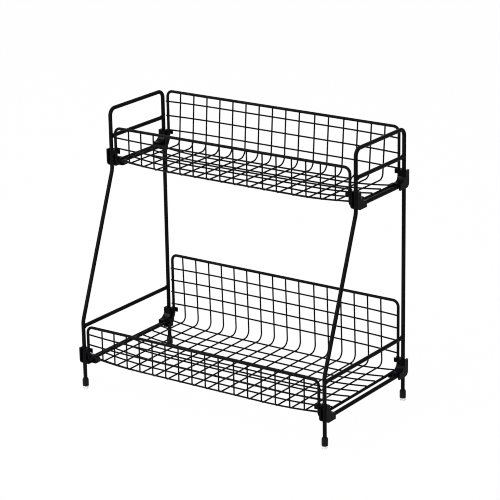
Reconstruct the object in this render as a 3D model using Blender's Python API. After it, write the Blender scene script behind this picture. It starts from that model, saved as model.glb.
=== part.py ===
"""A free-standing two-tier desktop rack made of black wire.

Two bent side frames of round rod stand on four feet. Four bars are welded across each frame. Two
baskets of welded wire hang between the frames, each held at its corners by plastic clips that snap
over a leg, a shelf bar and the basket's rim. Each leg ends in a rubber cap with a clear pad below it.

Metres, +Z up. The origin is on the ground under the middle of the rack, +X runs along its length and
+Y points to its back.
"""
import math

import bmesh
import bpy
from mathutils import Matrix, Vector

# Clearances and fineness
CLEARANCE = 0.0003
MERGE_DISTANCE = 0.000005
CUT_OVERRUN = 0.0020
SHARP_ANGLE = math.radians(40.0)
ROD_RESOLUTION = 4
RIM_RESOLUTION = 2
WIRE_RESOLUTION = 0
HOOP_STEPS = 5
LEG_STEPS = 3
RIM_STEPS = 4
CLIP_STEPS = 4
LATHE_STEPS = 16

# Side frames
FRAME_SPACING = 0.3820
ROD_DIAMETER = 0.0050
FOOT_DEPTH = 0.1900
UPPER_DEPTH = 0.1160
HOOP_CORNER_RADIUS = 0.0095
LEG_BEND_RADIUS = 0.0180

# Heights of the frame's rods, each from the one below it
LOWER_SHELF_HEIGHT = 0.0393
SIDE_GUARD_RISE = 0.0493
LOWER_BEND_RISE = 0.0068
UPPER_BEND_RISE = 0.1929
UPPER_SHELF_RISE = 0.0091
TOP_GUARD_RISE = 0.0366
HOOP_RISE = 0.0370

# Basket rims
RIM_DIAMETER = 0.0036
RIM_CORNER_RADIUS = 0.0080
BACK_BEND_RADIUS = 0.0100
FRONT_BEND_RADIUS = 0.0050
UPPER_SEAT_RISE = 0.0006
UPPER_BACK_RISE = 0.0738
UPPER_FRONT_RISE = 0.0484
LOWER_SEAT_RISE = 0.0029
LOWER_BACK_RISE = 0.0948
LOWER_FRONT_RISE = 0.0476

# Basket meshes, whose ends curve inward to lie on the inner side of the rims
MESH_WIRE_DIAMETER = 0.0018
WELD_SINK = 0.0004
WIRE_TIP = 0.0006
FLOOR_SAG = 0.0014
DISH_START_SHARE = 0.53
CROSS_WIRE_PITCH = 0.0212
WIDE_BAY_SHARE = 0.63
WIDE_BAY_EXTRA = 0.0028
FLOOR_WIRE_PITCH = 0.0206
FRONT_BEND_WIRE_SHARE = 0.21
UPPER_BACK_WIRE_DROP = 0.0140
UPPER_BACK_WIRE_PITCH = 0.0199
UPPER_FRONT_WIRE_DROP = 0.0144
UPPER_FRONT_WIRE_PITCH = 0.0140
UPPER_REAR_FLOOR_WIRE_INSET = 0.0245
UPPER_FRONT_FLOOR_WIRE_INSET = 0.0090
UPPER_END_BAY_SHARE = 0.75
UPPER_END_BAY_EXTRA = 0.0022
UPPER_MESH_TOP_OFFSET = 0.0002
UPPER_MESH_FLOOR_OFFSET = 0.0039
LOWER_BACK_WIRE_DROP = 0.0190
LOWER_BACK_WIRE_PITCH = 0.0173
LOWER_FRONT_WIRE_DROP = 0.0123
LOWER_FRONT_WIRE_PITCH = 0.0142
LOWER_BACK_FLOOR_WIRE_INSET = 0.0110
LOWER_REAR_FLOOR_WIRE_INSET = 0.0380
LOWER_FRONT_FLOOR_WIRE_INSET = 0.0075
LOWER_MESH_TOP_OFFSET = 0.0041
LOWER_MESH_FLOOR_OFFSET = 0.0021

# Clips, from the crossing of the leg's axis and the shelf bar's axis
CLIP_OUTER_CHEEK = 0.0027
CLIP_INNER_CHEEK = 0.0031
CLIP_WEB = 0.00165
CLIP_ROOF = 0.0022
CLIP_HEIGHT = 0.0194
CLIP_ARM_LENGTH = 0.0175
CLIP_LEG_REACH = 0.0041
CLIP_BAR_REACH = 0.0039
CLIP_FILLET_RADIUS = 0.0098
CLIP_LEDGE_DROP = 0.0103
CLIP_CORNER_RADIUS = 0.0062
HOOK_LIP = 0.0024
HOOK_ROOT = 0.0010
HOOK_NOSE = 0.0004
UPPER_HOOK_HEIGHT = 0.0060
UPPER_HOOK_OUTER_WALL = 0.0019
UPPER_HOOK_INNER_WALL = 0.0012
LOWER_HOOK_START = 0.0075
LOWER_HOOK_RISE = 0.0022

# Feet
CAP_WALL = 0.00145
CAP_HEIGHT = 0.0113
CAP_FLOOR = 0.0016
CAP_SHOULDER_WIDTH = 0.0013
CAP_SHOULDER_HEIGHT = 0.0032
CAP_EDGE_RADIUS = 0.0009
PAD_DIAMETER = 0.0080
PAD_THICKNESS = 0.0036
PAD_EDGE_RADIUS = 0.0020

# Places that follow from the sizes
ROD_RADIUS = ROD_DIAMETER / 2
RIM_RADIUS = RIM_DIAMETER / 2
WIRE_RADIUS = MESH_WIRE_DIAMETER / 2
ROD_SLOT = ROD_RADIUS + CLEARANCE
RIM_SLOT = RIM_RADIUS + CLEARANCE
REAR_Y = FOOT_DEPTH / 2
FRONT_Y = -FOOT_DEPTH / 2
UPPER_FRONT_Y = REAR_Y - UPPER_DEPTH
SIDE_GUARD_HEIGHT = LOWER_SHELF_HEIGHT + SIDE_GUARD_RISE
LOWER_BEND_HEIGHT = SIDE_GUARD_HEIGHT + LOWER_BEND_RISE
UPPER_BEND_HEIGHT = LOWER_BEND_HEIGHT + UPPER_BEND_RISE
UPPER_SHELF_HEIGHT = UPPER_BEND_HEIGHT + UPPER_SHELF_RISE
TOP_GUARD_HEIGHT = UPPER_SHELF_HEIGHT + TOP_GUARD_RISE
HOOP_HEIGHT = TOP_GUARD_HEIGHT + HOOP_RISE
CAP_BOTTOM = PAD_THICKNESS + CLEARANCE
ROD_BOTTOM = CAP_BOTTOM + CAP_FLOOR + CLEARANCE
INNER_FACE = ROD_SLOT + CLIP_INNER_CHEEK
OUTER_FACE = ROD_SLOT + CLIP_OUTER_CHEEK
RIM_OFFSET = INNER_FACE + RIM_SLOT
RIM_X = FRAME_SPACING / 2 - RIM_OFFSET
RIM_OVERHANG = ROD_RADIUS - RIM_RADIUS
WIRE_LAP = MESH_WIRE_DIAMETER - WELD_SINK
WALL_DISH = WIRE_LAP + RIM_SLOT + WIRE_RADIUS
FLOOR_DISH = WALL_DISH + FLOOR_SAG
DISH_START = DISH_START_SHARE * RIM_X

SIDES = {"left": -1, "right": 1}


def material(name, color, roughness, metallic=0.0, alpha=1.0):
    """A Principled material with the piece's colour, roughness and metallic value."""
    result = bpy.data.materials.new(name)
    result.use_nodes = True
    shader = result.node_tree.nodes["Principled BSDF"]
    shader.inputs["Base Color"].default_value = (*color, 1.0)
    shader.inputs["Roughness"].default_value = roughness
    shader.inputs["Metallic"].default_value = metallic
    shader.inputs["Alpha"].default_value = alpha
    return result


def rounded(points, radii, steps, closed=False):
    """The points of a path whose corners are turned into arcs of the given radii."""
    corners = [Vector(p) for p in points]
    count = len(corners)
    path = [] if closed else [corners[0]]
    turned = range(count) if closed else range(1, count - 1)
    for index, radius in zip(turned, radii):
        corner = corners[index]
        back = (corners[index - 1] - corner).normalized()
        ahead = (corners[(index + 1) % count] - corner).normalized()
        half = back.angle(ahead) / 2
        center = corner + (back + ahead).normalized() * (radius / math.sin(half))
        start = corner + back * (radius / math.tan(half)) - center
        end = corner + ahead * (radius / math.tan(half)) - center
        sweep = math.pi - 2 * half
        for step in range(steps + 1):
            turn = sweep * step / steps
            near = start * math.sin(sweep - turn)
            far = end * math.sin(turn)
            path.append(center + (near + far) / math.sin(sweep))
    if not closed:
        path.append(corners[-1])
    return path


def place(item, look, parent, location):
    """Gives an object its material, its parent and its place."""
    item.data.materials.append(look)
    item.parent = parent
    item.location = location
    bpy.context.scene.collection.objects.link(item)
    return item


def rod_curve(name, paths, radius, resolution, closed=False):
    """A curve whose round bevel is the rod along each path, with closed ends."""
    curve = bpy.data.curves.new(name, "CURVE")
    curve.dimensions = "3D"
    curve.bevel_depth = radius
    curve.bevel_resolution = resolution
    curve.use_fill_caps = not closed
    for path in paths:
        spline = curve.splines.new("POLY")
        spline.points.add(len(path) - 1)
        for point, spot in zip(spline.points, path):
            point.co = (*spot, 1.0)
        spline.use_cyclic_u = closed
    return curve


def solid_from_curve(name, curve):
    """The mesh of a curve's rods, with each end cap merged to its rod."""
    guide = bpy.data.objects.new(name + "_guide", curve)
    bpy.context.scene.collection.objects.link(guide)
    graph = bpy.context.evaluated_depsgraph_get()
    mesh = bpy.data.meshes.new_from_object(guide.evaluated_get(graph))
    mesh.name = name
    bpy.data.objects.remove(guide)
    work = bmesh.new()
    work.from_mesh(mesh)
    bmesh.ops.remove_doubles(work, verts=work.verts, dist=MERGE_DISTANCE)
    bmesh.ops.recalc_face_normals(work, faces=work.faces)
    work.to_mesh(mesh)
    work.free()
    return mesh


def prism(name, outline, start, end, axes):
    """A closed prism: the outline lies on the first two axes and runs along the third."""
    work = bmesh.new()
    corners = []
    for first, second in outline:
        spot = Vector((0.0, 0.0, 0.0))
        spot[axes[0]] = first
        spot[axes[1]] = second
        spot[axes[2]] = start
        corners.append(work.verts.new(spot))
    base = work.faces.new(corners)
    grown = bmesh.ops.extrude_face_region(work, geom=[base])
    moved = [item for item in grown["geom"] if isinstance(item, bmesh.types.BMVert)]
    run = Vector((0.0, 0.0, 0.0))
    run[axes[2]] = end - start
    bmesh.ops.translate(work, verts=moved, vec=run)
    bmesh.ops.recalc_face_normals(work, faces=work.faces)
    mesh = bpy.data.meshes.new(name)
    work.to_mesh(mesh)
    work.free()
    return mesh


def combined(name, base, steps):
    """The mesh that is left when each (operation, mesh) has worked on the base mesh."""
    body = bpy.data.objects.new(name, base)
    bpy.context.scene.collection.objects.link(body)
    helpers = []
    for operation, mesh in steps:
        helper = bpy.data.objects.new(name + "_tool", mesh)
        helper.hide_render = True
        helper.display_type = "WIRE"
        bpy.context.scene.collection.objects.link(helper)
        helpers.append(helper)
        change = body.modifiers.new(operation.lower(), "BOOLEAN")
        change.operation = operation
        change.solver = "EXACT"
        change.object = helper
    graph = bpy.context.evaluated_depsgraph_get()
    result = bpy.data.meshes.new_from_object(body.evaluated_get(graph))
    result.name = name
    for item in [body, *helpers]:
        bpy.data.objects.remove(item)
    return result


def lathe(name, profile):
    """A turned solid about Z, from a profile of (radius, height) that starts and ends on the axis."""
    work = bmesh.new()
    spots = [work.verts.new((radius, 0.0, height)) for radius, height in profile]
    edges = [work.edges.new(pair) for pair in zip(spots, spots[1:])]
    bmesh.ops.spin(
        work,
        geom=spots + edges,
        cent=(0.0, 0.0, 0.0),
        axis=(0.0, 0.0, 1.0),
        angle=2 * math.pi,
        steps=LATHE_STEPS,
        use_merge=True,
    )
    bmesh.ops.remove_doubles(work, verts=work.verts, dist=MERGE_DISTANCE)
    bmesh.ops.recalc_face_normals(work, faces=work.faces)
    mesh = bpy.data.meshes.new(name)
    work.to_mesh(mesh)
    work.free()
    mesh.shade_smooth()
    mesh.set_sharp_from_angle(angle=SHARP_ANGLE)
    return mesh


def frame_hoop(side, look, parent):
    """One rod bent into the rear leg, the hoop's top and the stepped front leg."""
    path = rounded(
        [
            (0.0, REAR_Y, ROD_BOTTOM),
            (0.0, REAR_Y, HOOP_HEIGHT),
            (0.0, UPPER_FRONT_Y, HOOP_HEIGHT),
        ]
        + [(0.0, UPPER_FRONT_Y, UPPER_BEND_HEIGHT)],
        [HOOP_CORNER_RADIUS, HOOP_CORNER_RADIUS],
        HOOP_STEPS,
    )
    leg = rounded(
        [
            path[-2],
            (0.0, UPPER_FRONT_Y, UPPER_BEND_HEIGHT),
            (0.0, FRONT_Y, LOWER_BEND_HEIGHT),
            (0.0, FRONT_Y, ROD_BOTTOM),
        ],
        [LEG_BEND_RADIUS, LEG_BEND_RADIUS],
        LEG_STEPS,
    )
    name = side + "_frame_hoop"
    curve = rod_curve(name, [path[:-2] + leg], ROD_RADIUS, ROD_RESOLUTION)
    return place(bpy.data.objects.new(name, curve), look, parent, (0.0, 0.0, 0.0))


def cross_bar(name, front_y, height, look, parent):
    """A straight bar from one leg to the other, its ends just clear of the legs."""
    reach = (REAR_Y - front_y) / 2 - ROD_SLOT
    curve = rod_curve(name, [[(0.0, -reach, 0.0), (0.0, reach, 0.0)]], ROD_RADIUS, ROD_RESOLUTION)
    middle = (0.0, (REAR_Y + front_y) / 2, height)
    return place(bpy.data.objects.new(name, curve), look, parent, middle)


def basket_outline(tier, wall, floor):
    """Back top, back foot, front foot and front top of a basket, its walls and floor moved out."""
    back = REAR_Y + RIM_OVERHANG + wall
    front = tier["front_y"] - RIM_OVERHANG - wall
    corners = [
        (back, tier["back_rise"]),
        (back, -floor),
        (front, -floor),
        (front, tier["front_rise"]),
    ]
    radii = [BACK_BEND_RADIUS + wall, FRONT_BEND_RADIUS + wall]
    return corners, radii


def basket_rim(name, tier, look, parent):
    """One closed loop of wire: top back edge, both ends' U shapes and top front edge."""
    corners, radii = basket_outline(tier, 0.0, 0.0)
    ends = [RIM_CORNER_RADIUS, *radii, RIM_CORNER_RADIUS]
    right = [(RIM_X, y, z) for y, z in corners]
    left = [(-x, y, z) for x, y, z in reversed(right)]
    loop = rounded(right + left, ends + ends[::-1], RIM_STEPS, closed=True)
    curve = rod_curve(name, [loop], RIM_RADIUS, RIM_RESOLUTION, closed=True)
    return place(bpy.data.objects.new(name, curve), look, parent, (0.0, 0.0, tier["floor"]))


def even_places(first, last, pitch):
    """Places from first to last, both held, as near to the pitch as fits evenly."""
    spaces = max(1, round(abs(last - first) / pitch))
    return [first + (last - first) * index / spaces for index in range(spaces + 1)]


def places_down(top, drop, pitch, lowest):
    """Heights from a first drop below the top, at a pitch, that stay above the lowest one."""
    heights = []
    height = top - drop
    while height > lowest:
        heights.append(height)
        height -= pitch
    return heights


def mesh_outline(tier, x, layer):
    """The outline of a layer of mesh wire at a place along the basket, where its ends dish inward."""
    run = max(0.0, abs(x) - DISH_START) / (RIM_X - DISH_START)
    share = min(1.0, run * run)
    return basket_outline(tier, layer - share * WALL_DISH, layer + FLOOR_SAG - share * FLOOR_DISH)


def bend_place(tier, x):
    """The (y, z) of the long wire on the front bend, at its share of the turn down from the wall."""
    corners, radii = mesh_outline(tier, x, WIRE_LAP)
    y, z = corners[2]
    reach = radii[1]
    turn = FRONT_BEND_WIRE_SHARE * math.pi / 2
    return y + reach * (1 - math.cos(turn)), z + reach * (1 - math.sin(turn))


def wall_places(tier, x, corner, heights):
    """The (y, z) of each long wire of a wall, by the outline's corner that the wall ends at."""
    corners, _ = mesh_outline(tier, x, WIRE_LAP)
    return [(corners[corner][0], height) for height in heights]


def long_wire_places(tier, x):
    """The (y, z) of every wire that runs along the basket, at a place x, from back top to front top."""
    clip_top = tier["shelf"] - tier["floor"] + CLIP_HEIGHT + CLEARANCE + WIRE_RADIUS
    back_low = max(BACK_BEND_RADIUS, clip_top)
    front_low = max(FRONT_BEND_RADIUS, clip_top)
    back = places_down(tier["back_rise"], tier["back_drop"], tier["back_pitch"], back_low)
    front = places_down(tier["front_rise"], tier["front_drop"], tier["front_pitch"], front_low)
    first = REAR_Y - tier["rear_floor_inset"]
    last = tier["front_y"] + tier["front_floor_inset"]
    floor = tier["extra_floor_wires"] + even_places(first, last, FLOOR_WIRE_PITCH)
    corners, _ = mesh_outline(tier, x, WIRE_LAP)
    level = corners[1][1]
    places = wall_places(tier, x, 1, back)
    places += [(y, level) for y in floor]
    places.append(bend_place(tier, x))
    places += wall_places(tier, x, 2, front)
    return places


def cross_wire_places(tier):
    """The x of each cross wire's back top and of the rest of it: even runs with wide bays between."""
    count = round(2 * RIM_X / CROSS_WIRE_PITCH) - 1
    places = []
    for index in range(count):
        jig = (index - (count - 1) / 2) * CROSS_WIRE_PITCH
        jig += sum(extra for share, extra in tier["wide_bays"] if index >= round(share * count))
        places.append((jig - tier["mesh_top_offset"], jig - tier["mesh_floor_offset"]))
    return places


def cross_wire_path(tier, top_x, floor_x):
    """One U-shaped cross wire that leans in the back wall and ends just under the rim's top edges."""
    (back, back_top), *_ = mesh_outline(tier, top_x, 0.0)[0]
    corners, radii = mesh_outline(tier, floor_x, 0.0)
    _, back_foot, front_foot, (front, front_top) = corners
    path = [
        (top_x, back, back_top - RIM_SLOT),
        (floor_x, *back_foot),
        (floor_x, *front_foot),
        (floor_x, front, front_top - RIM_SLOT),
    ]
    return rounded(path, radii, RIM_STEPS)


def basket_mesh(name, tier, look, parent):
    """U-shaped cross wires over long wires whose ends lap inside the rim, welded at each crossing."""
    cross_x = cross_wire_places(tier)
    cross = [cross_wire_path(tier, top_x, floor_x) for top_x, floor_x in cross_x]
    bent = [floor_x for top_x, floor_x in cross_x if abs(floor_x) > DISH_START - CROSS_WIRE_PITCH]
    tip = RIM_X + WIRE_TIP
    stations = [-tip, -RIM_X, *bent, RIM_X, tip]
    rows = [[(x, *place) for place in long_wire_places(tier, x)] for x in stations]
    long = [list(path) for path in zip(*rows)]
    cross_curve = rod_curve(name + "_cross", cross, WIRE_RADIUS, WIRE_RESOLUTION)
    long_curve = rod_curve(name + "_long", long, WIRE_RADIUS, WIRE_RESOLUTION)
    cross_wires = solid_from_curve(name + "_cross", cross_curve)
    long_wires = solid_from_curve(name + "_long", long_curve)
    mesh = combined(name, cross_wires, [("UNION", long_wires)])
    mesh.materials.clear()
    return place(bpy.data.objects.new(name, mesh), look, parent, (0.0, 0.0, tier["floor"]))


def clip_outline():
    """The clip's L shape seen along X, with a sloping ledge above its fillet: u inward, v up."""
    roof = ROD_SLOT + CLIP_ROOF
    web = ROD_SLOT + CLIP_WEB
    corner = rounded(
        [
            (-CLIP_LEG_REACH, CLIP_HEIGHT, 0.0),
            (-CLIP_LEG_REACH, -CLIP_BAR_REACH, 0.0),
            (CLIP_ARM_LENGTH, -CLIP_BAR_REACH, 0.0),
        ],
        [CLIP_CORNER_RADIUS],
        CLIP_STEPS,
    )
    ledge = CLIP_HEIGHT - CLIP_LEDGE_DROP
    center = (web + CLIP_FILLET_RADIUS, roof + CLIP_FILLET_RADIUS)
    ledge_turn = math.asin((center[1] - ledge) / CLIP_FILLET_RADIUS)
    fillet = arc(center, CLIP_FILLET_RADIUS, -math.pi / 2, ledge_turn - math.pi, CLIP_STEPS)
    depth = fillet[-1][0] - web
    inside = [(CLIP_ARM_LENGTH, roof), *fillet, (web, ledge + depth), (web, CLIP_HEIGHT)]
    return [spot[:2] for spot in corner] + inside


def rod_channel():
    """The L-shaped channel that the leg and the shelf bar lie in, open outward and downward."""
    high = CLIP_HEIGHT + CUT_OVERRUN
    far = CLIP_ARM_LENGTH + CUT_OVERRUN
    out = -CLIP_LEG_REACH - CUT_OVERRUN
    low = -CLIP_BAR_REACH - CUT_OVERRUN
    return [(out, high), (out, low), (far, low), (far, ROD_SLOT), (ROD_SLOT, ROD_SLOT), (ROD_SLOT, high)]


def hook_wall_outline(slot, wall, sense):
    """One jaw beside the rim's upright seen from above: w outward, u towards the rack's middle."""
    lip = RIM_OFFSET + RIM_SLOT
    tip = lip + HOOK_LIP
    root = INNER_FACE - HOOK_ROOT
    return [
        (-root, sense * slot),
        (-lip, sense * slot),
        (-(lip + tip) / 2, sense * (slot - HOOK_NOSE)),
        (-tip, sense * slot),
        (-tip, sense * (slot + wall)),
        (-root, sense * (slot + wall)),
    ]


def lower_hook_outline():
    """The hook under the rim's floor run seen along Y, open upward: w outward, v up."""
    lip_inner = RIM_OFFSET + RIM_SLOT
    lip_outer = lip_inner + HOOK_LIP
    seat = UPPER_SEAT_RISE - RIM_SLOT
    root = INNER_FACE - HOOK_ROOT
    return [
        (-lip_outer, -CLIP_BAR_REACH),
        (-root, -CLIP_BAR_REACH),
        (-root, seat),
        (-lip_inner, seat),
        (-lip_inner, LOWER_HOOK_RISE),
        (-lip_outer, LOWER_HOOK_RISE),
    ]


def clip_mesh():
    """A clip of the right front corner: X outward, Y towards the rack's middle, Z up."""
    body = prism("clip_body", clip_outline(), -INNER_FACE, OUTER_FACE, (1, 2, 0))
    channel = prism("clip_channel", rod_channel(), -ROD_SLOT, ROD_SLOT, (1, 2, 0))
    low = CLIP_HEIGHT - UPPER_HOOK_HEIGHT
    outer = hook_wall_outline(RIM_SLOT + RIM_OVERHANG, UPPER_HOOK_OUTER_WALL, -1)
    inner = hook_wall_outline(RIM_SLOT - RIM_OVERHANG, UPPER_HOOK_INNER_WALL, 1)
    steps = [("DIFFERENCE", channel)]
    for outline in (outer, inner):
        jaw = prism("clip_jaw", outline, low, CLIP_HEIGHT, (0, 1, 2))
        steps.append(("UNION", jaw))
    lower = prism("clip_lower_hook", lower_hook_outline(), LOWER_HOOK_START, CLIP_ARM_LENGTH, (0, 2, 1))
    steps.append(("UNION", lower))
    mesh = combined("clip", body, steps)
    mesh.materials.clear()
    return mesh


def mirrored(mesh, name, across, along):
    """A copy of a mesh turned over in X or Y where a sign is negative, its faces still outward."""
    work = bmesh.new()
    work.from_mesh(mesh)
    bmesh.ops.transform(work, matrix=Matrix.Diagonal((across, along, 1.0, 1.0)), verts=work.verts)
    bmesh.ops.recalc_face_normals(work, faces=work.faces)
    copy = bpy.data.meshes.new(name)
    work.to_mesh(copy)
    work.free()
    copy.shade_smooth()
    copy.set_sharp_from_angle(angle=SHARP_ANGLE)
    return copy


def arc(center, radius, start, end, steps):
    """Points of an arc of (radius, height) about a centre, from one angle to another."""
    turns = [start + (end - start) * step / steps for step in range(steps + 1)]
    return [(center[0] + radius * math.cos(t), center[1] + radius * math.sin(t)) for t in turns]


def foot_cap_mesh():
    """A rubber cap with a blind bore for the rod, a round lower edge and a long elliptical shoulder."""
    outer = ROD_SLOT + CAP_WALL
    profile = [(0.0, 0.0)]
    edge = (outer - CAP_EDGE_RADIUS, CAP_EDGE_RADIUS)
    profile += arc(edge, CAP_EDGE_RADIUS, -math.pi / 2, 0.0, CLIP_STEPS // 2)
    for step in range(CLIP_STEPS + 1):
        turn = math.pi / 2 * step / CLIP_STEPS
        radius = outer - CAP_SHOULDER_WIDTH * (1 - math.cos(turn))
        height = CAP_HEIGHT - CAP_SHOULDER_HEIGHT * (1 - math.sin(turn))
        profile.append((radius, height))
    profile += [(ROD_SLOT, CAP_HEIGHT), (ROD_SLOT, CAP_FLOOR), (0.0, CAP_FLOOR)]
    return lathe("foot_cap", profile)


def foot_pad_mesh():
    """A clear pad, flat where it meets the ground, with a rounded lower edge."""
    radius = PAD_DIAMETER / 2
    edge = (radius - PAD_EDGE_RADIUS, PAD_EDGE_RADIUS)
    profile = [(0.0, 0.0)]
    profile += arc(edge, PAD_EDGE_RADIUS, -math.pi / 2, 0.0, CLIP_STEPS)
    profile += [(radius, PAD_THICKNESS), (0.0, PAD_THICKNESS)]
    return lathe("foot_pad", profile)


def powder_coat(name, roughness):
    """Black powder coat on steel."""
    return material(name, (0.012, 0.012, 0.013), roughness)


def clip_plastic():
    """Black moulded plastic."""
    return material("clip_plastic", (0.017, 0.017, 0.019), 0.45)


def cap_rubber():
    """Black rubber with a dull skin."""
    return material("foot_cap_rubber", (0.015, 0.014, 0.018), 0.6)


def pad_clear():
    """Clear soft plastic."""
    return material("foot_pad_clear", (0.85, 0.87, 0.87), 0.12, alpha=0.35)


def guide_empty(name, location):
    """An empty that carries the pieces of one group."""
    empty = bpy.data.objects.new(name, None)
    empty.location = location
    bpy.context.scene.collection.objects.link(empty)
    return empty


def build_frames():
    """Both side frames: a hoop and four bars each."""
    hoop_look = powder_coat("frame_hoop_powder_coat", 0.32)
    bar_look = powder_coat("frame_bar_powder_coat", 0.32)
    for side, sign in SIDES.items():
        parent = guide_empty(side + "_frame", (sign * FRAME_SPACING / 2, 0.0, 0.0))
        frame_hoop(side, hoop_look, parent)
        cross_bar(side + "_top_guard_bar", UPPER_FRONT_Y, TOP_GUARD_HEIGHT, bar_look, parent)
        cross_bar(side + "_upper_shelf_bar", UPPER_FRONT_Y, UPPER_SHELF_HEIGHT, bar_look, parent)
        cross_bar(side + "_side_guard_bar", FRONT_Y, SIDE_GUARD_HEIGHT, bar_look, parent)
        cross_bar(side + "_lower_shelf_bar", FRONT_Y, LOWER_SHELF_HEIGHT, bar_look, parent)


def basket_tiers():
    """The sizes of both baskets by tier, worked out from the frame that holds them."""
    upper = {
        "front_y": UPPER_FRONT_Y,
        "shelf": UPPER_SHELF_HEIGHT,
        "floor": UPPER_SHELF_HEIGHT + UPPER_SEAT_RISE,
        "back_rise": UPPER_BACK_RISE,
        "front_rise": UPPER_FRONT_RISE,
        "back_drop": UPPER_BACK_WIRE_DROP,
        "back_pitch": UPPER_BACK_WIRE_PITCH,
        "front_drop": UPPER_FRONT_WIRE_DROP,
        "front_pitch": UPPER_FRONT_WIRE_PITCH,
        "rear_floor_inset": UPPER_REAR_FLOOR_WIRE_INSET,
        "front_floor_inset": UPPER_FRONT_FLOOR_WIRE_INSET,
        "wide_bays": [
            (WIDE_BAY_SHARE, WIDE_BAY_EXTRA),
            (UPPER_END_BAY_SHARE, UPPER_END_BAY_EXTRA),
        ],
        "mesh_top_offset": UPPER_MESH_TOP_OFFSET,
        "mesh_floor_offset": UPPER_MESH_FLOOR_OFFSET,
        "extra_floor_wires": [],
    }
    lower = {
        "front_y": FRONT_Y,
        "shelf": LOWER_SHELF_HEIGHT,
        "floor": LOWER_SHELF_HEIGHT + LOWER_SEAT_RISE,
        "back_rise": LOWER_BACK_RISE,
        "front_rise": LOWER_FRONT_RISE,
        "back_drop": LOWER_BACK_WIRE_DROP,
        "back_pitch": LOWER_BACK_WIRE_PITCH,
        "front_drop": LOWER_FRONT_WIRE_DROP,
        "front_pitch": LOWER_FRONT_WIRE_PITCH,
        "rear_floor_inset": LOWER_REAR_FLOOR_WIRE_INSET,
        "front_floor_inset": LOWER_FRONT_FLOOR_WIRE_INSET,
        "wide_bays": [(WIDE_BAY_SHARE, WIDE_BAY_EXTRA)],
        "mesh_top_offset": LOWER_MESH_TOP_OFFSET,
        "mesh_floor_offset": LOWER_MESH_FLOOR_OFFSET,
        "extra_floor_wires": [REAR_Y - LOWER_BACK_FLOOR_WIRE_INSET],
    }
    return {"upper": upper, "lower": lower}


def build_baskets(tiers):
    """A rim and a mesh for each tier."""
    rim_look = powder_coat("basket_rim_powder_coat", 0.32)
    mesh_look = powder_coat("basket_mesh_powder_coat", 0.38)
    for name, tier in tiers.items():
        parent = guide_empty(name + "_basket", (0.0, 0.0, 0.0))
        basket_rim(name + "_basket_rim", tier, rim_look, parent)
        basket_mesh(name + "_basket_mesh", tier, mesh_look, parent)


def build_clips(tiers):
    """Four clips for each basket, mirrored from corner to corner."""
    look = clip_plastic()
    pattern = clip_mesh()
    for side, sign in SIDES.items():
        for end, along in (("front", 1), ("rear", -1)):
            mesh = mirrored(pattern, f"clip_{side}_{end}", sign, along)
            mesh.materials.append(look)
            for name, tier in tiers.items():
                item = bpy.data.objects.new(f"{name}_{side}_{end}_clip", mesh)
                leg_y = tier["front_y"] if end == "front" else REAR_Y
                item.location = (sign * FRAME_SPACING / 2, leg_y, tier["shelf"])
                bpy.context.scene.collection.objects.link(item)


def build_feet():
    """A rubber cap and a clear pad at the foot of each leg."""
    cap_look = cap_rubber()
    pad_look = pad_clear()
    cap = foot_cap_mesh()
    pad = foot_pad_mesh()
    cap.materials.append(cap_look)
    pad.materials.append(pad_look)
    for side, sign in SIDES.items():
        for end, leg_y in (("front", FRONT_Y), ("rear", REAR_Y)):
            spot = (sign * FRAME_SPACING / 2, leg_y, 0.0)
            parent = guide_empty(f"{side}_{end}_foot", spot)
            cap_item = bpy.data.objects.new(f"{side}_{end}_foot_cap", cap)
            cap_item.parent = parent
            cap_item.location = (0.0, 0.0, CAP_BOTTOM)
            bpy.context.scene.collection.objects.link(cap_item)
            pad_item = bpy.data.objects.new(f"{side}_{end}_foot_pad", pad)
            pad_item.parent = parent
            bpy.context.scene.collection.objects.link(pad_item)


def main():
    """Clears the scene and models the rack."""
    for item in list(bpy.data.objects):
        bpy.data.objects.remove(item, do_unlink=True)
    tiers = basket_tiers()
    build_frames()
    build_baskets(tiers)
    build_clips(tiers)
    build_feet()


main()
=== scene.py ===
"""Looks of a two-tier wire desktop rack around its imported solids: bent rods, welded mesh, clips, feet.

Every new piece is a surface worked out with numpy, in metres, in the solids' own frame: +X along the
rack, +Y to its back, +Z up. A wire is a circle carried along a path, a foot is a profile turned about
an upright axis, and a weld is a flattened ball. A piece's name starts with that of the solid that it
stands for.
"""
import math

import bpy
import numpy as np
from mathutils import Matrix, Vector


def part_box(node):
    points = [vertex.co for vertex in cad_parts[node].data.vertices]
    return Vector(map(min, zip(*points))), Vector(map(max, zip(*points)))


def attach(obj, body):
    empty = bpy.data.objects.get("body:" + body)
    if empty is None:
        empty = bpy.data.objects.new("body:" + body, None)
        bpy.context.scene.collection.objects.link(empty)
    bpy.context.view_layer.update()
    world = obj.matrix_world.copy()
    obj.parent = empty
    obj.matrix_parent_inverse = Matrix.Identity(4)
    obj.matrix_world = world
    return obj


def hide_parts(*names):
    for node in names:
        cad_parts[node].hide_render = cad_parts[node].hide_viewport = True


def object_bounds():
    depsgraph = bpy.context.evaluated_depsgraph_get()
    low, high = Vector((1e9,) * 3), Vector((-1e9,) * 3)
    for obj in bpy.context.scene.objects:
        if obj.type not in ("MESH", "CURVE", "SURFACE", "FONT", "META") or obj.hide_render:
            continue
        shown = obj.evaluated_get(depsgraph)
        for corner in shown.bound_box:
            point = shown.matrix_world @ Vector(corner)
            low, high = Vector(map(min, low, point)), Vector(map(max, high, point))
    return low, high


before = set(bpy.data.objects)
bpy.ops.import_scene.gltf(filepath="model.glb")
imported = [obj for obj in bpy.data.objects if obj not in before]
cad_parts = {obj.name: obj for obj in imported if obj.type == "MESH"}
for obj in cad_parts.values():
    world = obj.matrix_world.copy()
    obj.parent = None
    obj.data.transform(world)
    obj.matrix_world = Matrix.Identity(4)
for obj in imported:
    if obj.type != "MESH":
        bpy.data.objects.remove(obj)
CAD_BOX = [list(corner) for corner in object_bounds()]


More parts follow.
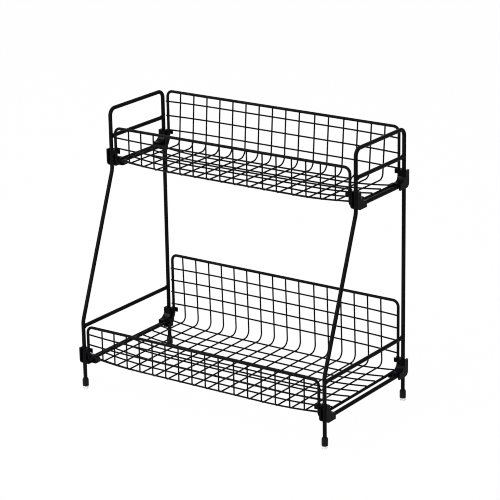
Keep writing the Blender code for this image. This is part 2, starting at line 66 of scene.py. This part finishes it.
def solid(node):
    """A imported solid's lowest corner, its middle and its highest corner."""
    low, high = np.array(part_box(node))
    return low, (low + high) / 2, high


# Side frames: the coat thickens every rod and wire, and the topmost ones stay inside the solids' box
ROD_RADIUS = 0.0025
COAT = 0.00015
HOOP_LOW, _, HOOP_HIGH = solid("right_frame_hoop")
FRONT_Y = HOOP_LOW[1] + ROD_RADIUS
REAR_Y = HOOP_HIGH[1] - ROD_RADIUS
ROD_BOTTOM_Z = HOOP_LOW[2]
UPPER_FRONT_Y = 2 * solid("right_top_guard_bar")[1][1] - REAR_Y
TOP_Z = CAD_BOX[1][2]
HOOP_Z = TOP_Z - ROD_RADIUS - COAT
LOWER_BEND_Z = 0.0954
UPPER_BEND_Z = 0.2883
HOOP_CORNER = 0.0095
LEG_BEND = 0.0180

# Welds: the solids' gap at a bar's end, the fillet there, and the mesh's beads as half sizes in x, y, z
BAR_GAP = 0.0003
FILLET_SWELL = 0.0009
FILLET_REACH = 0.0007
FILLET_RINGS = np.array([-1.2, -0.6, 0.0, 0.3, 0.7, 1.2, 1.8, 2.6, 3.6, 6.0]) / 1000
HIDDEN_END_SHARE = 0.8
CROSSING_BEAD = (0.00115, 0.00105, 0.00105)
LAP_BEAD = (0.0012, 0.0010, 0.0010)
RAIL_BEAD = (0.0013, 0.0012, 0.0009)

# Baskets
RIM_RADIUS = 0.0018
RIM_X = solid("upper_basket_rim")[2][0] - RIM_RADIUS
RIM_OVERHANG = 0.0007
RIM_CORNER = 0.0080
BACK_BEND = 0.0100
FRONT_BEND = 0.0050
FRONT_BEND_TURN = math.radians(18.9)
WIRE_RADIUS = 0.0009
WIRE_LAP = 0.0014
WIRE_TIP = 0.0006
FLOOR_SAG = 0.0014
FLAT_SHARE = 0.53
DISH_START = FLAT_SHARE * RIM_X
WALL_DISH = 0.0044
FLOOR_DISH = 0.0058
CROSS_PITCH = 0.0212
CROSS_COUNT = 16
# Each basket's heights, its long wires' places, and its wide bays as (cross wires before it, extra width)
TIERS = {
    "upper": {
        "floor": 0.2980,
        "front_y": UPPER_FRONT_Y,
        "back_top": TOP_Z - RIM_RADIUS - COAT,
        "front_top": 0.3464,
        "back_wires": [0.3578, 0.3379, 0.3180],
        "floor_wires": [0.0705, 0.0499, 0.0293, 0.0086, -0.0120],
        "front_wires": [0.3320, 0.3180],
        "wide_bays": [(10, 0.0028), (12, 0.0022)],
        "top_offset": 0.0002,
        "floor_offset": 0.0039,
    },
    "lower": {
        "floor": 0.0422,
        "front_y": FRONT_Y,
        "back_top": 0.1370,
        "front_top": 0.0898,
        "back_wires": [0.1180, 0.1007, 0.0834, 0.0661],
        "floor_wires": [0.0840, 0.0570, 0.0364, 0.0157, -0.0049, -0.0256, -0.0462, -0.0669, -0.0875],
        "front_wires": [0.0775, 0.0633],
        "wide_bays": [(10, 0.0028)],
        "top_offset": 0.0041,
        "floor_offset": 0.0021,
    },
}

# Clips
CLIP_EDGE = 0.00032
CLIP_EDGE_STEPS = 3
CLIP_EDGE_ANGLE = math.radians(35)
MERGE_REACH = 0.00001

# Feet
CAP_EDGE = 0.0009
CAP_SHOULDER_WIDTH = 0.0013
CAP_SHOULDER_HEIGHT = 0.0032
CAP_LIP_GAP = 0.0002
CAP_LIP_DEPTH = 0.0012
PAD_EDGE = 0.0020
PAD_BRIM = 0.0003

# Camera, as fitted to the rack's straight rods in the photograph
CAMERA_AZIMUTH = math.radians(34.862)
CAMERA_ELEVATION = math.radians(18.180)
CAMERA_ROLL = math.radians(-0.984)
CAMERA_TARGET = Vector((0.06496, -0.07061, 0.23322))
CAMERA_DISTANCE = 2.79151
CAMERA_LENS = 159.595

# Studio: each lamp's place, width and watts, and the light that the white surroundings cast
LAMP_TARGET = (0.0, 0.0, 0.2)
LAMPS = {
    "key": ((0.0, -3.1, 1.3), 0.7, 50.0),
    "left_fill": ((-1.7, -1.0, 2.2), 0.7, 34.0),
    "top": ((0.1, 0.2, 2.6), 1.0, 5.0),
}
SKY_LIGHT = 0.45
FLOOR_REACH = 9.0
FLOOR_TONE = 0.9
FLOOR_WHITENESS = 0.985

# Fineness, and the two rings that dome a wire's end: their places and sizes as shares of its radius
ROD_SIDES = 28
RIM_SIDES = 20
WIRE_SIDES = 10
TURN_STEPS = 12
LATHE_SIDES = 56
CAP_EDGE_STEPS = 6
CAP_SHOULDER_STEPS = 10
PAD_EDGE_STEPS = 8
DISH_STEPS = 15
BEAD_SIDES = 6
SMOOTH_ANGLE = math.radians(50)
DOME_REACHES = (0.42, 0.30)
DOME_SHARES = (0.72, 0.90)


def unit(vectors):
    """Each vector over its own length."""
    return vectors / np.linalg.norm(vectors, axis=-1, keepdims=True)


def bent(corners, radii, closed=False):
    """A path of straight runs whose corners are arcs.

    An arc's points are centre + (start sin(a - t) + end sin t) / sin a, with start and end measured
    from its centre and t running from 0 to the turn a.
    """
    corners = np.asarray(corners, float)
    count = len(corners)
    path = [] if closed else [corners[:1]]
    for place, radius in zip(range(count) if closed else range(1, count - 1), radii):
        corner = corners[place]
        back = unit(corners[place - 1] - corner)
        ahead = unit(corners[(place + 1) % count] - corner)
        half = math.acos(np.clip(back @ ahead, -1, 1)) / 2
        centre = corner + unit(back + ahead) * radius / math.sin(half)
        start = corner + back * radius / math.tan(half) - centre
        end = corner + ahead * radius / math.tan(half) - centre
        turn = math.pi - 2 * half
        t = np.linspace(0, turn, TURN_STEPS + 1)[:, None]
        path.append(centre + (start * np.sin(turn - t) + end * np.sin(t)) / math.sin(turn))
    if not closed:
        path.append(corners[-1:])
    return np.concatenate(path)


def carried_frames(path, closed):
    """Tangents and two normals along a path. A normal turns only as much as the tangent makes it,
    and on a closed path the twist that is left at the end is shared out evenly."""
    ahead = np.roll(path, -1, 0) - path
    behind = path - np.roll(path, 1, 0)
    if not closed:
        ahead[-1] = behind[-1]
        behind[0] = ahead[0]
    tangents = unit(unit(ahead) + unit(behind))
    first = np.eye(3)[np.argmin(np.abs(tangents[0]))]
    normals = np.empty_like(path)
    normal = unit(first - tangents[0] * (first @ tangents[0]))
    for ring, tangent in enumerate(tangents):
        normal = unit(normal - tangent * (normal @ tangent))
        normals[ring] = normal
    if closed:
        last = unit(normal - tangents[0] * (normal @ tangents[0]))
        twist = math.atan2(np.cross(normals[0], last) @ tangents[0], normals[0] @ last)
        turn = -twist * np.linspace(0, 1, len(path), endpoint=False)[:, None]
        normals = normals * np.cos(turn) + np.cross(tangents, normals) * np.sin(turn)
    return tangents, normals, np.cross(tangents, normals)


def tube(path, radius, sides, closed=False):
    """A circle carried along a path: point + radius (cos a normal + sin a binormal), with domed ends.

    radius is one number, or one for each point of the path.
    """
    path = np.asarray(path, float)
    radius = np.broadcast_to(np.asarray(radius, float), len(path))
    tangents, normals, binormals = carried_frames(path, closed)
    if not closed:
        reaches, shares = np.array([DOME_REACHES, DOME_SHARES])
        grown = path[0] - tangents[0] * radius[0] * reaches[:, None]
        ended = path[-1] + tangents[-1] * radius[-1] * reaches[::-1, None]
        path = np.concatenate([grown, path, ended])
        radius = np.concatenate([radius[0] * shares, radius, radius[-1] * shares[::-1]])
        normals = np.concatenate([normals[:1]] * 2 + [normals] + [normals[-1:]] * 2)
        binormals = np.concatenate([binormals[:1]] * 2 + [binormals] + [binormals[-1:]] * 2)
    angle = np.linspace(0, 2 * math.pi, sides, endpoint=False)
    ring = np.cos(angle)[:, None] * normals[:, None] + np.sin(angle)[:, None] * binormals[:, None]
    spots = path[:, None] + radius[:, None, None] * ring
    rows = len(path)
    row = np.arange(rows if closed else rows - 1)[:, None]
    side = np.arange(sides)[None]
    here, after = row * sides, (row + 1) % rows * sides
    step = (side + 1) % sides
    quads = np.stack([here + side, here + step, after + step, after + side], -1).reshape(-1, 4)
    ends = [] if closed else [np.arange(sides)[::-1], (rows - 1) * sides + np.arange(sides)]
    return spots.reshape(-1, 3), [quads], ends


def turned(profile, centre, sides):
    """A profile of (radius, height), from axis to axis, turned about an upright line."""
    profile = np.asarray(profile, float)
    angle = np.linspace(0, 2 * math.pi, sides, endpoint=False)
    around = np.stack([np.cos(angle), np.sin(angle), np.zeros(sides)], -1)
    rise = np.array([0.0, 0.0, 1.0])
    inner = profile[1:-1]
    rings = inner[:, :1, None] * around + inner[:, 1:, None] * rise
    poles = profile[[0, -1], 1][:, None] * rise
    spots = np.concatenate([rings.reshape(-1, 3), poles]) + np.asarray(centre, float)
    row = np.arange(len(inner) - 1)[:, None] * sides
    side = np.arange(sides)
    step = (side + 1) % sides
    above = row + sides
    quads = np.stack([row + side, row + step, above + step, above + side], -1).reshape(-1, 4)
    top_row, low_pole = (len(inner) - 1) * sides, len(inner) * sides
    foot = np.stack([step, side, np.full(sides, low_pole)], -1)
    head = np.stack([top_row + side, top_row + step, np.full(sides, low_pole + 1)], -1)
    return spots, [quads, foot, head], []


def welds(centres, size):
    """Flattened balls of three rings and two poles, one at each centre: centre + size * unit ball."""
    tilt = np.radians([-90.0, -45.0, 0.0, 45.0, 90.0])
    ball, grids, ends = turned(np.stack([np.cos(tilt), np.sin(tilt)], -1), (0.0, 0.0, 0.0), BEAD_SIDES)
    spots = np.asarray(centres, float)[:, None] + ball * size
    shift = np.arange(len(centres))[:, None, None] * len(ball)
    return spots.reshape(-1, 3), [(faces + shift).reshape(-1, faces.shape[1]) for faces in grids], ends


def piece(name, shapes, look, node):
    """One smooth-shaded piece of several closed shapes, riding on the rack in place of its solid."""
    spots, faces, start = [], [], 0
    for points, grids, ends in shapes:
        spots.append(points)
        for grid in grids:
            faces.extend((grid + start).tolist())
        faces.extend((end + start).tolist() for end in ends)
        start += len(points)
    mesh = bpy.data.meshes.new(name)
    mesh.from_pydata(np.concatenate(spots).tolist(), [], faces)
    mesh.shade_smooth()
    mesh.set_sharp_from_angle(angle=SMOOTH_ANGLE)
    mesh.materials.append(look)
    item = bpy.data.objects.new(name, mesh)
    bpy.context.scene.collection.objects.link(item)
    dressed(item, node)


def dressed(item, node):
    """Rides a piece on the rack and hides the solid that it stands for."""
    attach(item, "root")
    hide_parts(node)


class Nodes:
    """A material's node tree, with short calls that add nodes and join them."""

    def __init__(self, name):
        self.material = bpy.data.materials.new(name)
        self.material.use_nodes = True
        self.tree = self.material.node_tree
        self.shader = self.tree.nodes["Principled BSDF"]

    def add(self, kind, values=()):
        """A node with its input values."""
        node = self.tree.nodes.new(kind)
        for key, value in dict(values).items():
            node.inputs[key].default_value = value
        return node

    def join(self, source, target):
        """A link from an output to an input."""
        self.tree.links.new(source, target)

    def ramp(self, source, stops):
        """A colour ramp over a source, by its two stops of (place, colour)."""
        node = self.add("ShaderNodeValToRGB")
        for element, (place, color) in zip(node.color_ramp.elements, stops):
            element.position = place
            element.color = (*color, 1.0)
        self.join(source, node.inputs["Fac"])
        return node.outputs["Color"]

    def spread(self, source, low, high, out_low, out_high):
        """A value moved from one range to another."""
        values = {"From Min": low, "From Max": high, "To Min": out_low, "To Max": out_high}
        node = self.add("ShaderNodeMapRange", values)
        self.join(source, node.inputs["Value"])
        return node.outputs["Result"]

    def noise(self, scale, detail):
        """Noise on the piece's own metres, with about scale blots in each metre."""
        node = self.add("ShaderNodeTexNoise", {"Scale": scale, "Detail": detail})
        place = self.add("ShaderNodeTexCoord").outputs["Object"]
        self.join(place, node.inputs["Vector"])
        return node.outputs["Fac"]

    def bump(self, height, distance, strength, below=None):
        """A bump of a height in metres, on top of another one."""
        node = self.add("ShaderNodeBump", {"Distance": distance, "Strength": strength})
        self.join(height, node.inputs["Height"])
        if below:
            self.join(below, node.inputs["Normal"])
        return node.outputs["Normal"]


def powder_coat(name, low, high, roughness):
    """Black powder coat: melted grains leave soft pits about a millimetre apart, and dust dulls it."""
    nodes = Nodes(name)
    shader = nodes.shader
    shader.inputs["Specular IOR Level"].default_value = 0.014
    patches = nodes.noise(scale=38.0, detail=4.0)
    nodes.join(nodes.ramp(patches, [(0.3, low), (0.72, high)]), shader.inputs["Base Color"])
    dust = nodes.noise(scale=210.0, detail=3.0)
    dull = nodes.spread(dust, 0.25, 0.75, roughness - 0.05, roughness + 0.07)
    nodes.join(dull, shader.inputs["Roughness"])
    pits = nodes.bump(nodes.noise(scale=950.0, detail=2.0), distance=0.00004, strength=0.35)
    grain = nodes.noise(scale=3600.0, detail=1.0)
    nodes.join(nodes.bump(grain, distance=0.00001, strength=0.3, below=pits), shader.inputs["Normal"])
    return nodes.material


def moulded_plastic(name):
    """Black moulded plastic: a fine sparked grain, slightly uneven gloss and faint paler patches."""
    nodes = Nodes(name)
    shader = nodes.shader
    shader.inputs["Specular IOR Level"].default_value = 0.028
    flow = nodes.noise(scale=120.0, detail=4.0)
    tones = [(0.3, (0.0014, 0.0014, 0.0021)), (0.7, (0.0032, 0.0032, 0.0043))]
    nodes.join(nodes.ramp(flow, tones), shader.inputs["Base Color"])
    gloss = nodes.noise(scale=420.0, detail=3.0)
    nodes.join(nodes.spread(gloss, 0.25, 0.75, 0.24, 0.34), shader.inputs["Roughness"])
    grain = nodes.noise(scale=2600.0, detail=2.0)
    nodes.join(nodes.bump(grain, distance=0.00003, strength=0.45), shader.inputs["Normal"])
    return nodes.material


def dull_rubber(name):
    """Black rubber with a dull, slightly dusty skin."""
    nodes = Nodes(name)
    shader = nodes.shader
    shader.inputs["Specular IOR Level"].default_value = 0.10
    dust = nodes.noise(scale=300.0, detail=5.0)
    tones = [(0.35, (0.0018, 0.0018, 0.0026)), (0.75, (0.0045, 0.0044, 0.0060))]
    nodes.join(nodes.ramp(dust, tones), shader.inputs["Base Color"])
    wear = nodes.noise(scale=800.0, detail=2.0)
    nodes.join(nodes.spread(wear, 0.3, 0.7, 0.26, 0.38), shader.inputs["Roughness"])
    grain = nodes.noise(scale=1700.0, detail=3.0)
    nodes.join(nodes.bump(grain, distance=0.00005, strength=0.4), shader.inputs["Normal"])
    return nodes.material


def clear_pad(name):
    """Clear soft plastic, a little cloudy, with a waxy surface."""
    nodes = Nodes(name)
    shader = nodes.shader
    shader.inputs["Transmission Weight"].default_value = 0.6
    shader.inputs["IOR"].default_value = 1.2
    shader.inputs["Alpha"].default_value = 0.8
    cloud = nodes.noise(scale=260.0, detail=3.0)
    tones = [(0.3, (0.93, 0.94, 0.94)), (0.7, (0.98, 0.98, 0.98))]
    nodes.join(nodes.ramp(cloud, tones), shader.inputs["Base Color"])
    haze = nodes.noise(scale=500.0, detail=3.0)
    nodes.join(nodes.spread(haze, 0.3, 0.7, 0.32, 0.48), shader.inputs["Roughness"])
    ripple = nodes.noise(scale=900.0, detail=2.0)
    nodes.join(nodes.bump(ripple, distance=0.00003, strength=0.3), shader.inputs["Normal"])
    return nodes.material


def hoop_path(x):
    """A side frame's rod: rear foot, over the top, and down the stepped front leg."""
    corners = [
        (x, REAR_Y, ROD_BOTTOM_Z),
        (x, REAR_Y, HOOP_Z),
        (x, UPPER_FRONT_Y, HOOP_Z),
        (x, UPPER_FRONT_Y, UPPER_BEND_Z),
        (x, FRONT_Y, LOWER_BEND_Z),
        (x, FRONT_Y, ROD_BOTTOM_Z),
    ]
    return bent(corners, [HOOP_CORNER, HOOP_CORNER, LEG_BEND, LEG_BEND])


def bar_tube(node):
    """A bar welded between two legs, along its solid's middle line: its radius swells by
    FILLET_SWELL e^(-d / FILLET_REACH) at a distance d from a leg, which makes the fillet of weld."""
    low, middle, high = solid(node)
    reach = (high[1] - low[1]) / 2 + BAR_GAP
    along = np.concatenate([-reach + FILLET_RINGS, (reach - FILLET_RINGS)[::-1]])
    gap = np.clip(reach - np.abs(along), 0.0, None)
    radius = ROD_RADIUS + COAT + FILLET_SWELL * np.exp(-gap / FILLET_REACH)
    radius[[0, -1]] *= HIDDEN_END_SHARE
    return tube(middle + along[:, None] * (0.0, 1.0, 0.0), radius, ROD_SIDES)


def outline(tier, wall, floor):
    """Corners and bend radii of a basket seen from its end, its walls and floor moved outward."""
    back = REAR_Y + RIM_OVERHANG + wall
    front = tier["front_y"] - RIM_OVERHANG - wall
    low = tier["floor"] - floor
    corners = [(back, tier["back_top"]), (back, low), (front, low), (front, tier["front_top"])]
    return corners, [BACK_BEND + wall, FRONT_BEND + wall]


def dish(x):
    """The share of the inward curve at x: the square of the way from the dish's start to the rim."""
    return np.clip((np.abs(x) - DISH_START) / (RIM_X - DISH_START), 0, 1) ** 2


def mesh_outline(tier, x):
    """The outline of the mesh at one place along the basket."""
    share = float(dish(x))
    return outline(tier, -share * WALL_DISH, FLOOR_SAG - share * FLOOR_DISH)


def rim_tube(tier):
    """The rim's closed loop: both long top edges and the U shape at each end."""
    corners, radii = outline(tier, 0.0, 0.0)
    ends = [RIM_CORNER, *radii, RIM_CORNER]
    right = [(RIM_X, y, z) for y, z in corners]
    left = [(-x, y, z) for x, y, z in right[::-1]]
    loop = bent(right + left, ends + ends[::-1], closed=True)
    return tube(loop, RIM_RADIUS + COAT, RIM_SIDES, closed=True)


def cross_places(tier):
    """Each cross wire's x at its back top and elsewhere: even runs with wide bays between them."""
    order = np.arange(CROSS_COUNT)
    jig = (order - (CROSS_COUNT - 1) / 2) * CROSS_PITCH
    for first, extra in tier["wide_bays"]:
        jig += extra * (order >= first)
    return np.stack([jig - tier["top_offset"], jig - tier["floor_offset"]], -1)


def long_places(tier):
    """Each long wire as (y, z, inward y, inward z): its place at the middle, and how it dishes."""
    lap = WIRE_LAP
    (back, _), _, (front, low), _ = outline(tier, lap, lap + FLOOR_SAG)[0]
    rows = [(back, z, -WALL_DISH, 0.0) for z in tier["back_wires"]]
    rows += [(y, low, 0.0, FLOOR_DISH) for y in tier["floor_wires"]]
    radius = FRONT_BEND + lap
    turn = FRONT_BEND_TURN
    shift = (WALL_DISH * math.cos(turn), FLOOR_DISH - WALL_DISH * (1 - math.sin(turn)))
    rows.append((front + radius * (1 - math.cos(turn)), low + radius * (1 - math.sin(turn)), *shift))
    rows += [(front, z, WALL_DISH, 0.0) for z in tier["front_wires"]]
    return np.array(rows)


def cross_wires(tier, stands):
    """The U-shaped cross wires, and the places where they meet the rim's rails."""
    shapes, rails = [], []
    for top_x, floor_x in stands:
        (back, back_top), *_ = mesh_outline(tier, top_x)[0]
        (_, foot, toe, (front, front_top)), radii = mesh_outline(tier, floor_x)
        head = (top_x, back, back_top - RIM_RADIUS)
        tail = (floor_x, front, front_top - RIM_RADIUS)
        path = bent([head, (floor_x, *foot), (floor_x, *toe), tail], radii)
        shapes.append(tube(path, WIRE_RADIUS + COAT, WIRE_SIDES))
        rails += [head, tail]
    return shapes, rails


def long_wires(places):
    """The long wires, straight in the middle and dished inward towards both ends."""
    half = np.append(np.linspace(DISH_START, RIM_X, DISH_STEPS + 1), RIM_X + WIRE_TIP)
    along = np.concatenate([-half[::-1], half])
    bend = dish(along)
    paths = [np.stack([along, y + in_y * bend, z + in_z * bend], -1) for y, z, in_y, in_z in places]
    return [tube(path, WIRE_RADIUS + COAT, WIRE_SIDES) for path in paths]


def crossings(tier, stands, places):
    """Where each cross wire touches each long wire, midway between their middle lines."""
    walls = len(tier["back_wires"])
    rise = np.zeros(len(places))
    rise[:walls] = (places[:walls, 1] - tier["floor"]) / (tier["back_top"] - tier["floor"])
    across = stands[:, 1:] + (stands[:, :1] - stands[:, 1:]) * rise
    lap = unit(places[:, 2:]) * WIRE_LAP / 2
    spots = places[:, :2] + places[:, 2:] * dish(across)[..., None] + lap
    return np.concatenate([across[..., None], spots], -1).reshape(-1, 3)


def rim_laps(places):
    """Where each long wire touches the rim, at both of its ends."""
    spots = places[:, :2] + places[:, 2:] - unit(places[:, 2:]) * WIRE_RADIUS
    return [(x, y, z) for x in (-RIM_X, RIM_X) for y, z in spots]


def mesh_shapes(tier):
    """All wires of a basket's mesh, and the beads of weld where they cross or meet the rim."""
    stands = cross_places(tier)
    places = long_places(tier)
    crosses, rails = cross_wires(tier, stands)
    beads = [
        welds(crossings(tier, stands, places), CROSSING_BEAD),
        welds(rim_laps(places), LAP_BEAD),
        welds(rails, RAIL_BEAD),
    ]
    return crosses + long_wires(places) + beads


def cap_profile(radius, height):
    """A foot cap's outside: a flat sole with a round edge, a straight wall and a quarter of an ellipse
    for a shoulder, up to a lip round the rod."""
    lip = ROD_RADIUS + CAP_LIP_GAP
    throat = height - CAP_LIP_DEPTH
    edge_turn = np.linspace(-math.pi / 2, 0, CAP_EDGE_STEPS + 1)
    edge = CAP_EDGE * np.stack([np.cos(edge_turn) - 1, np.sin(edge_turn) + 1], -1) + (radius, 0.0)
    turn = np.linspace(0, math.pi / 2, CAP_SHOULDER_STEPS + 1)
    shoulder = np.stack([np.cos(turn) - 1, np.sin(turn) - 1], -1)
    shoulder = shoulder * (CAP_SHOULDER_WIDTH, CAP_SHOULDER_HEIGHT) + (radius, height)
    return np.concatenate([[(0.0, 0.0)], edge, shoulder, [(lip, height), (lip, throat), (0.0, throat)]])


def pad_profile(radius, height):
    """A clear pad's outside: a small flat underside, a round edge and a flat top."""
    turn = np.linspace(-math.pi / 2, 0, PAD_EDGE_STEPS + 1)
    edge = PAD_EDGE * np.stack([np.cos(turn) - 1, np.sin(turn) + 1], -1) + (radius, 0.0)
    top = [(radius, height - PAD_BRIM), (radius - PAD_BRIM, height), (0.0, height)]
    return np.concatenate([[(0.0, 0.0)], edge, top])


def build_frames():
    """Both side frames."""
    look = powder_coat("frame_powder_coat", (0.0042, 0.0043, 0.0050), (0.0086, 0.0088, 0.0098), 0.24)
    for side in ("left", "right"):
        hoop = side + "_frame_hoop"
        rod = tube(hoop_path(solid(hoop)[1][0]), ROD_RADIUS + COAT, ROD_SIDES)
        piece(hoop + "_rod", [rod], look, hoop)
        for name in ("top_guard_bar", "upper_shelf_bar", "side_guard_bar", "lower_shelf_bar"):
            bar = f"{side}_{name}"
            piece(bar + "_rod", [bar_tube(bar)], look, bar)


def build_baskets():
    """Both baskets: a rim and a mesh each."""
    look = powder_coat("basket_powder_coat", (0.0045, 0.0046, 0.0053), (0.0092, 0.0094, 0.0104), 0.26)
    for name, tier in TIERS.items():
        rim = f"{name}_basket_rim"
        mesh = f"{name}_basket_mesh"
        piece(rim + "_wire", [rim_tube(tier)], look, rim)
        piece(mesh + "_wires", mesh_shapes(tier), look, mesh)


def build_clips():
    """Each clip's solid with its edges rounded as a mould leaves them."""
    look = moulded_plastic("clip_plastic")
    for node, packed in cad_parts.items():
        if not node.endswith("_clip"):
            continue
        item = bpy.data.objects.new(node + "_moulding", packed.data.copy())
        bpy.context.scene.collection.objects.link(item)
        merge = item.modifiers.new("merge", "WELD")
        merge.merge_threshold = MERGE_REACH
        edge = item.modifiers.new("rounded", "BEVEL")
        edge.width = CLIP_EDGE
        edge.segments = CLIP_EDGE_STEPS
        edge.limit_method = "ANGLE"
        edge.angle_limit = CLIP_EDGE_ANGLE
        edge.use_clamp_overlap = True
        item.data.materials.clear()
        item.data.materials.append(look)
        dressed(item, node)


def foot_shape(node, profile):
    """A foot's profile, made for its solid's radius and height, turned where the solid stands."""
    low, middle, high = solid(node)
    outside = profile(high[0] - middle[0], high[2] - low[2])
    return turned(outside, (middle[0], middle[1], low[2]), LATHE_SIDES)


def build_feet():
    """A rubber cap and a clear pad under each leg."""
    cap_look = dull_rubber("foot_cap_rubber")
    pad_look = clear_pad("foot_pad_clear")
    for side in ("left", "right"):
        for end in ("front", "rear"):
            cap = f"{side}_{end}_foot_cap"
            pad = f"{side}_{end}_foot_pad"
            piece(cap + "_shell", [foot_shape(cap, cap_profile)], cap_look, cap)
            piece(pad + "_drop", [foot_shape(pad, pad_profile)], pad_look, pad)


def aim_camera():
    """The camera that took the photograph."""
    back = Vector((
        math.sin(CAMERA_AZIMUTH) * math.cos(CAMERA_ELEVATION),
        -math.cos(CAMERA_AZIMUTH) * math.cos(CAMERA_ELEVATION),
        math.sin(CAMERA_ELEVATION),
    ))
    level = Vector((math.cos(CAMERA_AZIMUTH), math.sin(CAMERA_AZIMUTH), 0.0))
    rise = back.cross(level)
    across = math.cos(CAMERA_ROLL) * level + math.sin(CAMERA_ROLL) * rise
    up = math.cos(CAMERA_ROLL) * rise - math.sin(CAMERA_ROLL) * level
    camera = bpy.data.cameras.new("camera")
    camera.sensor_width = 36.0
    camera.lens = CAMERA_LENS
    camera.clip_end = 60.0
    item = bpy.data.objects.new("camera", camera)
    turn = Matrix((across, up, back)).transposed().to_4x4()
    item.matrix_world = Matrix.Translation(CAMERA_TARGET + back * CAMERA_DISTANCE) @ turn
    bpy.context.scene.collection.objects.link(item)
    bpy.context.scene.camera = item


def lamp(name, place, size, energy):
    """A soft square lamp that faces the rack."""
    light = bpy.data.lights.new(name, "AREA")
    light.shape = "SQUARE"
    light.size = size
    light.energy = energy
    item = bpy.data.objects.new(name, light)
    item.location = place
    item.rotation_euler = (Vector(place) - Vector(LAMP_TARGET)).to_track_quat("Z", "Y").to_euler()
    bpy.context.scene.collection.objects.link(item)


def seen_share(tree):
    """1 for camera, glossy and transmitted rays, 0 for the rest."""
    paths = tree.nodes.new("ShaderNodeLightPath")
    total = paths.outputs["Is Camera Ray"]
    for name in ("Is Glossy Ray", "Is Transmission Ray"):
        more = tree.nodes.new("ShaderNodeMath")
        more.operation = "MAXIMUM"
        tree.links.new(total, more.inputs[0])
        tree.links.new(paths.outputs[name], more.inputs[1])
        total = more.outputs[0]
    return total


def light_studio():
    """Soft white surroundings, a lamp low in front, one to the upper left and a weak one above."""
    world = bpy.data.worlds.new("studio")
    world.use_nodes = True
    bpy.context.scene.world = world
    tree = world.node_tree
    shade = tree.nodes["Background"]
    shade.inputs["Color"].default_value = (1.0, 1.0, 1.0, 1.0)
    level = tree.nodes.new("ShaderNodeMapRange")
    level.inputs["To Min"].default_value = SKY_LIGHT
    level.inputs["To Max"].default_value = 1.0
    tree.links.new(seen_share(tree), level.inputs["Value"])
    tree.links.new(level.outputs["Result"], shade.inputs["Strength"])
    for name, (place, size, energy) in LAMPS.items():
        lamp(name, place, size, energy)


def floor_stage():
    """A plain pale floor that looks white, with a faint soft shadow under the rack."""
    mesh = bpy.data.meshes.new("floor")
    spots = [(x * FLOOR_REACH, y * FLOOR_REACH, 0.0) for x, y in ((-1, -1), (1, -1), (1, 1), (-1, 1))]
    mesh.from_pydata(spots, [], [(0, 1, 2, 3)])
    floor = bpy.data.objects.new("floor", mesh)
    bpy.context.scene.collection.objects.link(floor)
    material = bpy.data.materials.new("pale_floor")
    material.use_nodes = True
    tree = material.node_tree
    shader = tree.nodes["Principled BSDF"]
    shader.inputs["Base Color"].default_value = (FLOOR_TONE, FLOOR_TONE, FLOOR_TONE, 1.0)
    shader.inputs["Roughness"].default_value = 0.9
    shader.inputs["Specular IOR Level"].default_value = 0.0
    glow = tree.nodes.new("ShaderNodeEmission")
    glow.inputs["Strength"].default_value = 1.0
    share = tree.nodes.new("ShaderNodeMath")
    share.operation = "MULTIPLY"
    share.inputs[1].default_value = FLOOR_WHITENESS
    tree.links.new(seen_share(tree), share.inputs[0])
    mix = tree.nodes.new("ShaderNodeMixShader")
    tree.links.new(share.outputs[0], mix.inputs[0])
    tree.links.new(shader.outputs[0], mix.inputs[1])
    tree.links.new(glow.outputs[0], mix.inputs[2])
    tree.links.new(mix.outputs[0], tree.nodes["Material Output"].inputs["Surface"])
    mesh.materials.append(material)


build_frames()
build_baskets()
build_clips()
build_feet()
aim_camera()
light_studio()
floor_stage()
bpy.context.scene.view_settings.view_transform = "Standard"
bpy.context.scene.cycles.filter_width = 1.0
